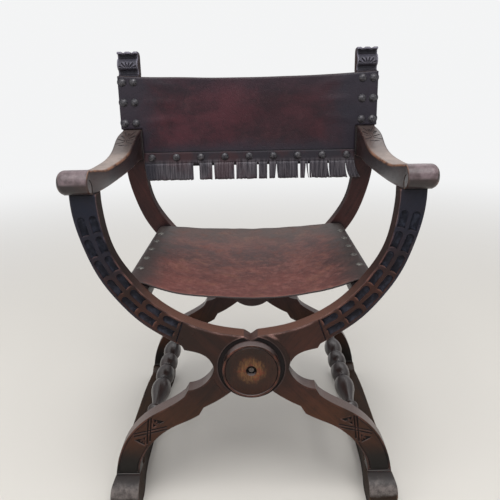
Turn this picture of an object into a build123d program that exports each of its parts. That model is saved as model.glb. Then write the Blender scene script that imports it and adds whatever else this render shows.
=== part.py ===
from build123d import *
import os
from math import atan2, cos, degrees, hypot, radians, sin

os.makedirs("parts", exist_ok=True)

# Savonarola chair, in millimetres. The origin is on the floor under the middle of the chair.
# +X is the sitter's left, -Y is the front of the chair, +Z is up.

# overall
frame_depth = 514.0          # front face of the front crossing to the back face of the rear one
half_depth = frame_depth / 2
leg_thick = 36.0             # thickness of each curved member, front to back
pivot_z = 310.4              # height of the folding axis
knuckle_r = 66.5             # round boss-like knuckle where the members cross
lap_r = 77.0                 # radius of the half-lap joint
lap_gap = 0.4                # clearance round and between the halves of the lap
edge_r = 2.0                 # softened edges of the old wood

# posts and finials
post_out = 320.6
post_in = 270.6
post_top = 866.0
finial_top = 921.0

# arms
arm_bottom = 658.0
roll_r = 22.0
roll_y = -259.0
roll_z = 680.6
roll_in = 277.5
roll_out = 335.5
arm_mid = 299.5
arm_line = (                 # height of the arm's top along its length, as (y, z)
    (roll_y, 702), (-228, 698.5), (-190, 692.5), (-120, 690), (-40, 690.5), (43, 695.5),
    (100, 703.5), (150, 713), (190, 723), (221, 734))

# seat rails
rail_in = 197.0
rail_out = 242.0
rail_bottom = 443.0
rail_top = 475.0

# runners
toe_y = 289.0
runner_top = 50.0
foot_top = 65.0

# turned stretchers
stretcher_x = 210.0
stretcher_z = 172.0

# roundels and pivot bolts
boss_r = 56.0
boss_deep = 17.0
bolt_r = 4.0
bolt_run = 0.06              # radial running clearance of the bolts

# leather
hide = 3.5                   # thickness of the hides
skin_gap = 0.3               # clearance between hide and wood
strip = 2.2                  # thickness of the fringe strip

# dome-headed nails
nail_r = 10.0
nail_high = 6.2
row_nail_r = 9.5
row_nail_high = 5.6
seat_nail_r = 7.6
shank_r = 1.3
post_nail_x = (285.0, 312.0)
post_nail_z = (749.0, 800.0, 849.0)
side_nail_y = 239.0
seat_nail_x = 226.5
seat_nail_y = (-136.0, -68.0, 0.0, 68.0, 136.0)
row_nail_x = (-250.0, -187.5, -125.0, -62.5, 0.0, 62.5, 125.0, 187.5, 250.0)
row_nail_z = 661.0

front_y = -half_depth
rear_y = half_depth


# ---------------------------------------------------------------- crossing members
# Outlines are in the XZ plane, drawn for the +X side.

def spl(*pts):
    return Spline(*[(p[0], p[1]) for p in pts])


def upper_outline():
    # the member from the arm down to the knuckle
    top_out = (320.0, arm_bottom)
    top_in = (271.5, arm_bottom)
    arm_out = (320.0, arm_bottom - 8)
    arm_in = (271.6, arm_bottom - 16)
    step_hi = (134.0, 358.5)
    step_lo = (129.6, 349.6)
    apex = (73.6, 306.0)
    v_low = (0.0, 367.4)
    v_high = (14.0, 377.3)
    heart = (30.0, 300.0)
    return [
        Line(top_out, arm_out),
        spl(arm_out, (317.3, 615), (302.5, 555), (279, 497.5), (246, 449), (209, 409), (170, 380.5), step_hi),
        Line(step_hi, step_lo),
        spl(step_lo, (116, 346.5), (99, 341), (86.5, 333), (78.5, 322.5), apex),
        Line(apex, heart),
        Line(heart, (-2.0, 330.0)),
        Line((-2.0, 330.0), (-2.0, 366.0)),
        Line((-2.0, 366.0), v_low),
        Line(v_low, v_high),
        spl(v_high, (39, 380.8), (59, 384.4), (96, 395.2), (134, 413), (170, 437), (223, 493.5), (254, 546),
            (266.5, 594), arm_in),
        Line(arm_in, top_in),
        Line(top_in, top_out),
    ]


def lower_outline():
    # the member from the knuckle down to its foot
    apex = (73.6, 306.0)
    cusp = (126.5, 261.6)
    under_cusp = (135.0, 247.0)
    foot_out = (285.5, foot_top)
    foot_in = (236.5, foot_top)
    low_knee = (107.0, 205.5)
    low_cusp = (97.0, 222.5)
    root = (40.5, 257.8)
    heart = (30.0, 300.0)
    return [
        spl(apex, (77.5, 295.5), (85.5, 283.5), (97, 272.5), (108.5, 265.8), cusp),
        Line(cusp, under_cusp),
        spl(under_cusp, (168, 224.5), (205.7, 203.5), (243, 171), (270, 127.5), (281, 92), foot_out),
        Line(foot_out, foot_in),
        spl(foot_in, (229.5, 103), (201, 147), (166, 175.5), (133, 191.5), low_knee),
        Line(low_knee, low_cusp),
        spl(low_cusp, (66, 239.5), root),
        Line(root, (0.0, 290.0)),
        Line((0.0, 290.0), heart),
        Line(heart, apex),
    ]


def stand(face, y0, depth):
    # a face drawn in (x, z) is stood up and given a depth along +Y from y0
    return Pos(0, y0 + depth, 0) * (Rot(90, 0, 0) * extrude(face, depth))


def round_bar(r, y0, depth, x=0.0, z=pivot_z):
    return Pos(x, y0, z) * (Rot(-90, 0, 0) * extrude(Circle(r), depth))


def soften(solid, r):
    # round the long edges of the two flat faces
    edges = [e for e in solid.edges() if e.bounding_box().size.Y < 0.01]
    for size in (r, 0.8 * r, 0.6 * r, 0.4 * r):
        try:
            return fillet(edges, size)
        except ValueError:
            continue
    print("edges left sharp")
    return solid


def member(arm_side, y0):
    # one crossing member: its upper end on arm_side, its foot on the other side
    # its half of the lap joint is the one nearer the front
    half = leg_thick / 2
    arm = soften(stand(make_face(upper_outline()), y0, leg_thick), edge_r)
    foot = soften(stand(make_face(lower_outline()), y0, leg_thick), 0.75 * edge_r)
    if arm_side < 0:
        arm = mirror(arm, about=Plane.YZ)
    else:
        foot = mirror(foot, about=Plane.YZ)
    other_arm = mirror(arm, about=Plane.YZ)
    other_foot = mirror(foot, about=Plane.YZ)
    notch = make_face(Polyline((0, 367.4), (34.8, 392), (-34.8, 392), (0, 367.4)))
    notch = stand(notch, y0 - 1, leg_thick + 2)
    lap = arm + foot + other_arm + other_foot + round_bar(knuckle_r, y0, leg_thick) - notch
    for x in (-65.5, 65.5):
        lap += round_bar(7.0, y0, leg_thick, x, 305.0)
    lap = lap & round_bar(lap_r, y0, half - lap_gap / 2)
    cut = round_bar(lap_r + lap_gap, y0 + half - lap_gap / 2, half + lap_gap / 2 + 1)
    ends = arm + foot - round_bar(lap_r, y0 - 1, leg_thick + 2) - cut
    return ends + lap


# gouged flutes in two rows up the face of the front members, lapped like scales
flute_x = -4.0               # centre of the curve that the rows follow
flute_z = 652.0
flute_rows = (287.5, 309.5)
flute_step = 7.9             # degrees from one flute to the next, and below level to the first
flute_count = 7
flute_half = 7.6             # half the width of a flute at the face
flute_deep = 5.0
flute_rim = 8.0              # wood left standing over the top of each flute


def gouge(x, y, z, angle, length, r):
    # a round-ended gouge cut lying in the face, turned by angle in the XZ plane
    rod = Rot(0, 90, 0) * Cylinder(r, length)
    tool = rod + Pos(-length / 2, 0, 0) * Sphere(r) + Pos(length / 2, 0, 0) * Sphere(r)
    return Pos(x, y, z) * (Rot(0, -angle, 0) * tool)


def v_line(x0, z0, x1, z1, y, deep):
    # a V-shaped incised line across the face at y
    length = hypot(x1 - x0, z1 - z0)
    angle = degrees(atan2(z1 - z0, x1 - x0))
    bar = Rot(45, 0, 0) * Box(length, deep * 1.414, deep * 1.414)
    return Pos((x0 + x1) / 2, y, (z0 + z1) / 2) * (Rot(0, -angle, 0) * bar)


def flute(row, i, y):
    # round at the top, and cut off below by the arch over the next flute
    high = radians(flute_step * (i + 1))
    low = radians(flute_step * (i + 2))
    x0 = flute_x + row * cos(high)
    z0 = flute_z - row * sin(high)
    x1 = flute_x + row * cos(low)
    z1 = flute_z - row * sin(low)
    r = (flute_half ** 2 + flute_deep ** 2) / (2 * flute_deep)
    turn = degrees(atan2(z1 - z0, x1 - x0))
    tool = gouge((x0 + x1) / 2, y - r + flute_deep, (z0 + z1) / 2, turn, hypot(x1 - x0, z1 - z0), r)
    return tool - round_bar(flute_half + flute_rim, y - 20, 50, x1, z1)


def scored(points, y, r):
    # a round-bottomed line scored along a curve on the face at y
    path = Spline(*[(x, y, z) for x, z in points])
    return sweep(Plane(path @ 0, z_dir=path % 0) * Circle(r), path=path)


def carving(side, y):
    tools = [flute(row, i, y) for row in flute_rows for i in range(flute_count)]
    # scored line below the flutes
    tools.append(v_line(129, 411, 146, 362, y, 1.6))
    return [t if side > 0 else mirror(t, about=Plane.YZ) for t in tools]


def sunk_leaf(corners, x, z, turn, y):
    # a sunk triangle with a three-lobed leaf left standing in it
    pocket = stand(make_face(Polyline(*corners, close=True)), y - 1, 3.6)
    for lobe in (-42, 0, 42):
        a = radians(turn + lobe)
        pocket -= gouge(x + 6 * cos(a), y + 2.4, z + 6 * sin(a), turn + lobe, 6, 2.2)
    return pocket


def knee_carving(side, y):
    # crossed double lines with two sunk leaves at the knee, a scored border, and a bead above the foot
    tools = []
    for shift in (-2.9, 3.3):
        tools.append(v_line(206.5 + shift, 200 - shift * 0.4, 213 + shift, 143 - shift, y, 2.0))
    for shift in (-2.8, 3.2):
        tools.append(v_line(173, 177 + shift, 242, 160.5 + shift, y, 2.0))
    tools.append(sunk_leaf([(202.0, 178.5), (199.5, 198.5), (177.0, 192.5)], 198.5, 184, 125, y))
    tools.append(sunk_leaf([(218.5, 157.0), (242.5, 149.5), (221.5, 136.5)], 221, 152, -35, y))
    tools.append(scored([(203, 200), (222.5, 185), (239.6, 168.1), (256, 146), (265.9, 125.6), (276.6, 90.9),
                         (279.6, 74)], y, 1.1))
    tools.append(scored([(215, 139), (224, 122.5), (233.6, 104.8), (241, 74)], y, 1.1))
    for z in (67.2, 71.0):
        tools.append(v_line(236, z, 286, z, y, 1.5))
    return [t if side > 0 else mirror(t, about=Plane.YZ) for t in tools]


def ring_groove(y):
    # sunk ring round the roundel
    return round_bar(knuckle_r - 0.5, y - 1, 3.0) - round_bar(boss_r + 0.6, y - 2, 5.0)


# back post, and the carved finial on top of it drawn as a side profile in (y, z)
def post(side, y0):
    wide = post_out - post_in
    mid = (post_out + post_in) / 2
    tall = post_top - arm_bottom + 3
    block = Pos(side * mid, y0 + leg_thick / 2, post_top - tall / 2) * Box(wide, leg_thick, tall)
    return fillet(block.edges().filter_by(Axis.Z), edge_r)


def finial(side, y0):
    f = y0
    b = y0 + leg_thick
    profile = [
        Line((b, post_top), (f, post_top)),
        spl((f, post_top), (f + 5, 869), (f + 5.5, 874), (f + 1, 878.5)),
        spl((f + 1, 878.5), (f - 5, 883), (f - 7.5, 890), (f - 4.5, 898), (f + 2.5, 904)),
        spl((f + 2.5, 904), (f + 8.5, 907.5), (f + 8.5, 912.5), (f + 1.5, 916)),
        spl((f + 1.5, 916), (f - 1.5, 918), (f + 1, 920.6), (f + 6, finial_top)),
        Line((f + 6, finial_top), (b - 10, finial_top - 2)),
        spl((b - 10, finial_top - 2), (b - 3, finial_top - 6), (b, finial_top - 14)),
        Line((b, finial_top - 14), (b, post_top)),
    ]
    block = extrude(Plane.YZ * make_face(profile), post_out - post_in)
    block = Pos(post_in, 0, 0) * block
    mid = (post_in + post_out) / 2
    for i in (-5, -3, -1, 1, 3, 5):
        # the leaf's lobes fan out from the middle of the lower edge
        turn = 90 - i * 13
        a = radians(turn)
        block -= gouge(mid + 14 * cos(a), f - 7.4, 878 + 13 * sin(a), turn, 16, 2.7)
    for x in (-10.4, 10.4):
        # scallops along the top edge
        block -= round_bar(6.0, f - 12, 70, mid + x, finial_top + 3.4)
    return block if side > 0 else mirror(block, about=Plane.YZ)


# ---------------------------------------------------------------- arms
def arm_height(y):
    for (y0, z0), (y1, z1) in zip(arm_line, arm_line[1:]):
        if y <= y1:
            return z0 + (z1 - z0) * (y - y0) / (y1 - y0)


def leaf_cut(x0, y0, x1, y1, r=2.5, deep=2.2):
    # a gouge cut along the arm's top, from one point to another given beside its middle
    a = Vector(arm_mid + x0, y0, arm_height(y0) + r - deep)
    b = Vector(arm_mid + x1, y1, arm_height(y1) + r - deep)
    rod = Plane(origin=(a + b) / 2, z_dir=b - a) * Cylinder(r, (b - a).length)
    return rod + Pos(a) * Sphere(r) + Pos(b) * Sphere(r)


def arm():
    # the armrest on the +X side, from the front roll back to the post
    back = rear_y - leg_thick
    plan = [
        Line((272, back), (319.5, back)),
        spl((319.5, back), (325, 203), (327.5, 183), (325.5, 143), (319, 88), (312.5, 13), (307.5, -77),
            (307, -157), (312, -205), (321, -232), (327, roll_y)),
        Line((327, roll_y), (roll_in, roll_y)),
        spl((roll_in, roll_y), (272.5, -222), (269, -157), (268.5, -77), (269.5, 13), (272.5, 88), (276.5, 143),
            (278, 188), (272, back)),
    ]
    side_view = [
        Line((back, arm_bottom), (roll_y, arm_bottom)),
        Line((roll_y, arm_bottom), arm_line[0]),
        spl(*arm_line),
        Line((back, arm_line[-1][1]), (back, arm_bottom)),
    ]
    solid = Pos(0, 0, 600) * extrude(make_face(plan), 200)
    solid &= Pos(200, 0, 0) * extrude(Plane.YZ * make_face(side_view), 200)
    top = []
    for e in solid.edges():
        box = e.bounding_box()
        if box.size.Y > 300 and box.size.Z > 20:
            top.append(e)
    for r in (4.5, 3.5, 2.5):
        try:
            solid = fillet(top, r)
            break
        except Exception:
            continue
    roll = Pos(roll_in, roll_y, roll_z) * (Rot(0, 90, 0) * extrude(Circle(roll_r), roll_out - roll_in))
    ends = [e for e in roll.edges() if e.geom_type == GeomType.CIRCLE]
    ends.sort(key=lambda e: e.center().X)
    roll = fillet(ends[-1:], 14.0)
    roll = fillet([e for e in roll.edges() if abs(e.center().X - roll_in) < 0.01 and e.length > 50], 3.0)
    solid += roll
    # the scroll's turn, cut into the inner end of the roll
    turn = Spline((roll_in, roll_y - 9, roll_z + 5), (roll_in, roll_y - 1, roll_z + 1),
                  (roll_in, roll_y + 4, roll_z - 9), (roll_in, roll_y + 2, roll_z - 24))
    solid -= sweep(Plane(turn @ 0, z_dir=turn % 0) * Circle(1.5), path=turn)
    # carved leaf on the top behind: a crescent at its tip, a stem and three pairs of veins
    solid -= leaf_cut(-8.5, 113, 0, 109.5, 3.0, 2.4)
    solid -= leaf_cut(8.5, 113, 0, 109.5, 3.0, 2.4)
    for x in (-2.6, 2.6):
        solid -= leaf_cut(x, 142, x * 0.6, 196, 1.6, 1.3)
    for side in (-1, 1):
        solid -= leaf_cut(side * 5, 135, side * 19, 124)
        solid -= leaf_cut(side * 7, 150, side * 20, 159)
        solid -= leaf_cut(side * 6.5, 164, side * 17, 184)
        solid -= leaf_cut(side * 5, 186, side * 12, 206, 2.0, 1.4)
    return solid


# ---------------------------------------------------------------- seat rails, stretchers and runners
def seat_rail():
    back = rear_y - leg_thick
    section = [
        Line((rail_in, rail_bottom), (rail_out, rail_bottom + 5)),
        Line((rail_out, rail_bottom + 5), (rail_out, rail_top - 9)),
        ThreePointArc((rail_out, rail_top - 9), (rail_out - 2.6, rail_top - 2.6), (rail_out - 9, rail_top)),
        Line((rail_out - 9, rail_top), (rail_out - 20, rail_top)),
        spl((rail_out - 20, rail_top), (rail_in + 10, rail_top - 3.5), (rail_in, rail_top - 10)),
        Line((rail_in, rail_top - 10), (rail_in, rail_bottom)),
    ]
    return stand(make_face(section), -back, 2 * back)


def stretcher():
    # turned bar: vase, ball, ball, vase, drawn as radius against distance from the middle
    back = rear_y - leg_thick
    half = [
        Line((0, 0), (0, 10.5)),
        Line((0, 10.5), (2.5, 10.5)),
        spl((2.5, 10.5), (8, 16.5), (18, 20.8), (31, 21.4), (44, 20.4), (54, 16), (59, 10.8)),
        Line((59, 10.8), (62, 10.8)),
        spl((62, 10.8), (66, 14), (76, 18.8), (92, 21.5), (108, 20.8), (128, 16.4), (152, 11.5), (172, 9.8)),
        Line((172, 9.8), (176, 13.5)),
        ThreePointArc((176, 13.5), (182, 16.2), (188, 13.5)),
        Line((188, 13.5), (192, 10.5)),
        spl((192, 10.5), (200, 12.5), (208, 15), (back, 15.5)),
        Line((back, 15.5), (back, 0)),
        Line((back, 0), (0, 0)),
    ]
    turned = revolve(make_face(half), Axis.X)
    turned += mirror(turned, about=Plane.YZ)
    return Pos(stretcher_x, 0, stretcher_z) * (Rot(0, 0, 90) * turned)


def runner():
    # sled foot, drawn as a side profile in (y, z), narrower between the feet
    face = rear_y
    inner = rear_y - leg_thick
    profile = [
        Line((-face, foot_top), (-inner, foot_top)),
        spl((-inner, foot_top), (-inner + 8, 62), (-inner + 16, 54), (-inner + 30, runner_top)),
        Line((-inner + 30, runner_top), (inner - 30, runner_top)),
        spl((inner - 30, runner_top), (inner - 16, 54), (inner - 8, 62), (inner, foot_top)),
        Line((inner, foot_top), (face, foot_top)),
        spl((face, foot_top), (face + 14, 59), (toe_y - 5, 48), (toe_y, 30), (toe_y - 5, 11), (toe_y - 16, 0)),
        Line((toe_y - 16, 0), (16 - toe_y, 0)),
        spl((16 - toe_y, 0), (5 - toe_y, 11), (-toe_y, 30), (5 - toe_y, 48), (-face - 14, 59), (-face, foot_top)),
    ]
    body = Pos(200, 0, 0) * extrude(Plane.YZ * make_face(profile), 200)
    outer = [(293.5, toe_y + 1), (291.5, toe_y - 9), (286.5, face), (286.5, inner), (291.5, 150), (293, 60)]
    inside = [(235.5, toe_y + 1), (235.5, face), (237, inner), (242, 180), (246.5, 60)]
    plan = [
        spl(*outer, *[(x, -y) for x, y in reversed(outer)]),
        Line((outer[0][0], -toe_y - 1), (inside[0][0], -toe_y - 1)),
        spl(*[(x, -y) for x, y in inside], *reversed(inside)),
        Line((inside[0][0], toe_y + 1), (outer[0][0], toe_y + 1)),
    ]
    body &= Pos(0, 0, -10) * extrude(make_face(plan), 100)
    long_edges = [e for e in body.edges() if e.bounding_box().size.Y > 300 and e.center().Z > 20]
    for r in (4.0, 2.5):
        try:
            return fillet(long_edges, r)
        except Exception:
            continue
    return body


def flipped(solid):
    return mirror(solid, about=Plane.YZ)


def save(name, shape):
    solids = shape.solids() if hasattr(shape, "solids") else shape
    print(name, len(solids), round(sum(s.volume for s in solids)))
    export_step(shape, "parts/" + name + ".step")


# ---------------------------------------------------------------- roundels and pivot bolts
def roundel():
    # turned disc, drawn as depth in front of the member against radius
    turned = [
        Line((0, 0), (boss_r, 0)),
        Line((boss_r, 0), (boss_r, boss_deep - 2)),
        ThreePointArc((boss_r, boss_deep - 2), (boss_r - 0.6, boss_deep - 0.6), (boss_r - 2, boss_deep)),
        Line((boss_r - 2, boss_deep), (boss_r - 4, boss_deep - 0.3)),
        Line((boss_r - 4, boss_deep - 0.3), (boss_r - 5, boss_deep - 1.8)),
        Line((boss_r - 5, boss_deep - 1.8), (boss_r - 6.2, boss_deep - 0.9)),
        spl((boss_r - 6.2, boss_deep - 0.9), (42, 13.8), (33, 12.4), (24, 13.2), (14, 14.6), (10.5, 14)),
        Line((10.5, 14), (9.6, 5)),
        Line((9.6, 5), (0, 5)),
        Line((0, 5), (0, 0)),
    ]
    disc = revolve(make_face(turned), Axis.Y)
    disc -= Rot(90, 0, 0) * Cylinder(bolt_r + bolt_run, 40)
    return Pos(0, 0, pivot_z) * Rot(180, 0, 0) * disc


def pivot_bolt():
    # iron pin with a domed head, for the front crossing
    head_y = front_y - 5
    pin = round_bar(bolt_r, head_y, leg_thick + 17)
    dome = Pos(0, head_y, pivot_z) * Sphere(6.4)
    dome &= Pos(0, head_y - 10, pivot_z) * Box(30, 20, 30)
    dome = dome & round_bar(6.4, head_y - 4.4, 6)
    return pin + dome


def pivot_nut():
    inner = front_y + leg_thick + skin_gap
    washer = round_bar(12, inner, 2)
    nut = Pos(0, inner + 2 + 4, pivot_z) * (Rot(0, 20, 0) * Box(15, 8, 15))
    return washer + nut - round_bar(bolt_r + 0.02, inner - 2, 20)


def to_rear(solid):
    return mirror(solid, about=Plane.XZ)


# ---------------------------------------------------------------- nails
def nail(r, high):
    # head resting on z = 0, shank running down
    ball_r = (r * r + high * high) / (2 * high)
    dome = Pos(0, 0, high - ball_r) * Sphere(ball_r)
    dome &= Pos(0, 0, high / 2) * Cylinder(r, high)
    return dome + Pos(0, 0, -7) * Cylinder(shank_r, 14)


def post_nails():
    # on the +X post: three pairs through the front, three through the outer side
    face = rear_face - hide - 2 * skin_gap
    side_face = post_out + hide + 2 * skin_gap
    made = []
    for z in post_nail_z:
        for x in post_nail_x:
            made.append(Pos(x, face, z) * (Rot(90, 0, 0) * nail(nail_r, nail_high)))
        made.append(Pos(side_face, side_nail_y, z) * (Rot(0, 90, 0) * nail(nail_r, 5.0)))
    return made


def seat_nails():
    face = rail_top + hide + 2 * skin_gap
    return [Pos(seat_nail_x, y, face) * nail(seat_nail_r, 3.8) for y in seat_nail_y]


def shank_holes(nails_of, r):
    made = []
    if nails_of == "post":
        for z in post_nail_z:
            for x in post_nail_x:
                made.append(round_bar(r, rear_face - 12, 25, x, z))
            made.append(Pos(post_out, side_nail_y, z) * (Rot(0, 90, 0) * Cylinder(r, 30)))
    else:
        for y in seat_nail_y:
            made.append(Pos(seat_nail_x, y, rail_top) * Cylinder(r, 30))
    return made


# ---------------------------------------------------------------- leather
def hide_y(x):
    # front face of the back leather: it bows a little to the rear between the posts
    return rear_face - skin_gap - hide + 5.0 * (1 - (x / post_in) ** 2)


def back_panel():
    f = rear_face - skin_gap
    side_x = post_out + skin_gap
    back_y = rear_y - 5
    n = 8
    xs = [post_in - 2 * post_in * i / n for i in range(n + 1)]
    front_pts = [(x, hide_y(x)) for x in xs]
    back_pts = [(x, hide_y(x) + hide) for x in reversed(xs)]
    plan = [
        Line((side_x, back_y), (side_x + hide, back_y)),
        Line((side_x + hide, back_y), (side_x + hide, f)),
        ThreePointArc((side_x + hide, f), (side_x + 0.707 * hide, f - 0.707 * hide), (side_x, f - hide)),
        Line((side_x, f - hide), front_pts[0]),
        Spline(*front_pts),
        Line(front_pts[-1], (-side_x, f - hide)),
        ThreePointArc((-side_x, f - hide), (-side_x - 0.707 * hide, f - 0.707 * hide), (-side_x - hide, f)),
        Line((-side_x - hide, f), (-side_x - hide, back_y)),
        Line((-side_x - hide, back_y), (-side_x, back_y)),
        Line((-side_x, back_y), (-side_x, f)),
        Line((-side_x, f), back_pts[0]),
        Spline(*back_pts),
        Line(back_pts[-1], (side_x, f)),
        Line((side_x, f), (side_x, back_y)),
    ]
    sheet = Pos(0, 0, 600) * extrude(make_face(plan), 300)
    wide = side_x + hide + 2
    outline = make_face([
        spl((wide, 863.5), (post_in, 861), (150, 856), (0, 854.5), (-150, 856), (-post_in, 861), (-wide, 863.5)),
        Line((-wide, 863.5), (-wide, 735)),
        Line((-wide, 735), (-270.2, 735)),
        Line((-270.2, 735), (-270.2, 643)),
        Line((-270.2, 643), (270.2, 643)),
        Line((270.2, 643), (270.2, 735)),
        Line((270.2, 735), (wide, 735)),
        Line((wide, 735), (wide, 863.5)),
    ])
    sheet &= stand(outline, 100, 200)
    for side in (1, -1):
        for tool in shank_holes("post", shank_r + skin_gap):
            sheet -= tool if side > 0 else flipped(tool)
    for x in row_nail_x:
        sheet -= round_bar(shank_r + skin_gap, rear_face - 20, 40, x, row_nail_z)
    return sheet


def fringe():
    n = 8
    xs = [270.0 - 540.0 * i / n for i in range(n + 1)]
    front_pts = [(x, hide_y(x) - skin_gap - strip) for x in xs]
    back_pts = [(x, hide_y(x) - skin_gap) for x in reversed(xs)]
    plan = [
        Spline(*front_pts),
        Line(front_pts[-1], back_pts[0]),
        Spline(*back_pts),
        Line(back_pts[-1], front_pts[0]),
    ]
    sheet = Pos(0, 0, 602) * extrude(make_face(plan), 76)
    cuts = []
    gap = {-21: 8.0, -14: 2.4, -6: 3.0, 4: 3.0, 9: 3.4, 12: 4.0, 20: 4.0, 24: 5.0, 32: 2.0, 38: 3.0}
    for i in range(-42, 43):
        wide = gap.get(i, 0.7)
        cuts.append(Pos(i * 6.3, rear_face, 602 + 23) * Box(wide, 40, 48))
    sheet -= cuts
    for x in row_nail_x:
        sheet -= round_bar(shank_r + skin_gap, rear_face - 20, 40, x, row_nail_z)
    return sheet


def row_nails():
    made = []
    for x in row_nail_x:
        y = hide_y(x) - 2 * skin_gap - strip
        short = nail(row_nail_r, row_nail_high) - Pos(0, 0, -17) * Cylinder(5, 20)
        made.append(Pos(x, y, row_nail_z) * (Rot(90, 0, 0) * short))
    return made


def seat_section(y, low, z_in, sag):
    # cross-section of the seat leather at y: the heights of its underside in the middle and beside the rail,
    # and how square the curve between them is
    x0 = rail_out + skin_gap
    z0 = rail_top + skin_gap + 0.1
    reach = 195.0

    def half(d):
        pts = [(222.0, z0 + d), (208.0, (z0 + z_in) / 2 + 0.6 + d), (reach, z_in + d)]
        for k in (0.75, 0.5, 0.25):
            pts.append((reach * k, low + (z_in - low) * k ** sag + d))
        return pts

    under = half(0.0) + [(0.0, low)] + [(-x, z) for x, z in reversed(half(0.0))]
    over = half(hide) + [(0.0, low + hide)] + [(-x, z) for x, z in reversed(half(hide))]
    c = rail_out - 9
    r0 = x0 - c
    r1 = r0 + hide
    zc = z0 - r0
    k = 0.7071
    edges = [
        Line((x0, 453), (x0 + hide, 453)),
        Line((x0 + hide, 453), (x0 + hide, zc)),
        ThreePointArc((x0 + hide, zc), (c + k * r1, zc + k * r1), (c, zc + r1)),
        Line((c, zc + r1), over[0]),
        Spline(*over),
        Line(over[-1], (-c, zc + r1)),
        ThreePointArc((-c, zc + r1), (-c - k * r1, zc + k * r1), (-x0 - hide, zc)),
        Line((-x0 - hide, zc), (-x0 - hide, 453)),
        Line((-x0 - hide, 453), (-x0, 453)),
        Line((-x0, 453), (-x0, zc)),
        ThreePointArc((-x0, zc), (-c - k * r0, zc + k * r0), (-c, zc + r0)),
        Line((-c, zc + r0), under[-1]),
        Spline(*under),
        Line(under[0], (c, zc + r0)),
        ThreePointArc((c, zc + r0), (c + k * r0, zc + k * r0), (x0, zc)),
        Line((x0, zc), (x0, 453)),
    ]
    return Pos(0, y, 0) * (Rot(90, 0, 0) * make_face(edges))


def seat_hide():
    end = rear_face - 1.2
    sections = [seat_section(-end, 441.8, 470.0, 2.8), seat_section(0, 439.5, 470.8, 2.1), seat_section(end, 465.0, 474.6, 1.4)]
    sheet = loft(sections)
    for side in (1, -1):
        for tool in shank_holes("seat", shank_r + skin_gap):
            sheet -= tool if side > 0 else flipped(tool)
    return sheet


# ---------------------------------------------------------------- pieces
def together(solids):
    return Compound(children=[s.solid() if hasattr(s, "solid") else s for s in solids])


rear_face = rear_y - leg_thick
bolt_hole = round_bar(bolt_r + bolt_run, -400, 800)

# the outer half of each lap belongs to the left arm's members, the inner half to the right arm's
outer = member(-1, front_y)
inner = flipped(Pos(0, 2 * front_y + leg_thick, 0) * to_rear(outer))
front_leg_left = outer - carving(-1, front_y) - knee_carving(1, front_y) - ring_groove(front_y) - bolt_hole
front_leg_right = inner - carving(1, front_y) - knee_carving(-1, front_y) - bolt_hole
rear_leg_left = to_rear(outer) + post(-1, rear_face) + finial(-1, rear_face) - bolt_hole
rear_leg_right = to_rear(inner) + post(1, rear_face) + finial(1, rear_face) - bolt_hole
post_holes = shank_holes("post", shank_r)
rear_leg_right -= post_holes
rear_leg_left -= [flipped(h) for h in post_holes]
save("front_leg_left", front_leg_left)
save("front_leg_right", front_leg_right)
save("rear_leg_left", rear_leg_left)
save("rear_leg_right", rear_leg_right)

arm_right = arm()
save("arm_left", flipped(arm_right))
save("arm_right", arm_right)

seat_rail_right = seat_rail() - shank_holes("seat", shank_r)
save("seat_rail_left", flipped(seat_rail_right))
save("seat_rail_right", seat_rail_right)

stretcher_right = stretcher()
save("stretcher_left", flipped(stretcher_right))
save("stretcher_right", stretcher_right)

runner_right = runner()
save("runner_left", flipped(runner_right))
save("runner_right", runner_right)

front_boss = Pos(0, front_y, 0) * roundel()
save("front_boss", front_boss)
save("rear_boss", to_rear(front_boss))
save("pivot_bolts", together([pivot_bolt(), to_rear(pivot_bolt())]))
save("pivot_nuts", together([pivot_nut(), to_rear(pivot_nut())]))

nails = post_nails()
save("post_nails_right", together(nails))
save("post_nails_left", together([flipped(n) for n in nails]))
nails = seat_nails()
save("seat_nails_right", together(nails))
save("seat_nails_left", together([flipped(n) for n in nails]))

save("seat_leather", seat_hide())
save("back_leather", back_panel())
save("back_fringe", fringe())
save("fringe_nails", together(row_nails()))
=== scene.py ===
import math
import random
import bpy
import bmesh
from mathutils import Matrix, Vector, noise


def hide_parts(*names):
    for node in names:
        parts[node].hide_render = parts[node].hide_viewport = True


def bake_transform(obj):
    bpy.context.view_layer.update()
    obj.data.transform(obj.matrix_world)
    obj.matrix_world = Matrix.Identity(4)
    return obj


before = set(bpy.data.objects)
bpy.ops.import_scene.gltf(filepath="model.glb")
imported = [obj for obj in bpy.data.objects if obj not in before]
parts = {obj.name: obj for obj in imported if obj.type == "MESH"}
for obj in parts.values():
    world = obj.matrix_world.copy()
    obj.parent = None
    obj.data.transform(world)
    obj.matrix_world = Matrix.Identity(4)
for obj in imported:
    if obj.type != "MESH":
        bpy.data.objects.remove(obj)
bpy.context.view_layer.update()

# ---------------------------------------------------------------- crossed legs
# Four curved oak members, two at the front and two at the rear, halved together at the crossings.
# Sawn from plank and carved, stained nearly black, then waxed and worn back to red-brown on the arrises.


def ink(r, g, b):
    # a colour as written on a paint card, 0 to 255, turned into the renderer's linear values
    shares = [c / 255 for c in (r, g, b)]
    return tuple(c / 12.92 if c < 0.04 else ((c + 0.055) / 1.055) ** 2.4 for c in shares) + (1.0,)


def feed(tree, sockets, values):
    # a value that varies is linked to its socket, and a plain one is set on it
    for key, value in values.items():
        if isinstance(value, bpy.types.NodeSocket):
            tree.links.new(value, sockets[key])
        else:
            sockets[key].default_value = value


def node(tree, kind, inputs=None, **settings):
    n = tree.nodes.new("ShaderNode" + kind)
    for key, value in settings.items():
        setattr(n, key, value)
    feed(tree, n.inputs, inputs or {})
    return n


def ramp(tree, value, low, high, to_low=0.0, to_high=1.0):
    # to_low where the value is at low, to_high where it is at high, and an easy turn between them
    levels = {0: value, 1: low, 2: high, 3: to_low, 4: to_high}
    return node(tree, "MapRange", levels, interpolation_type="SMOOTHSTEP").outputs[0]


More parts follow.
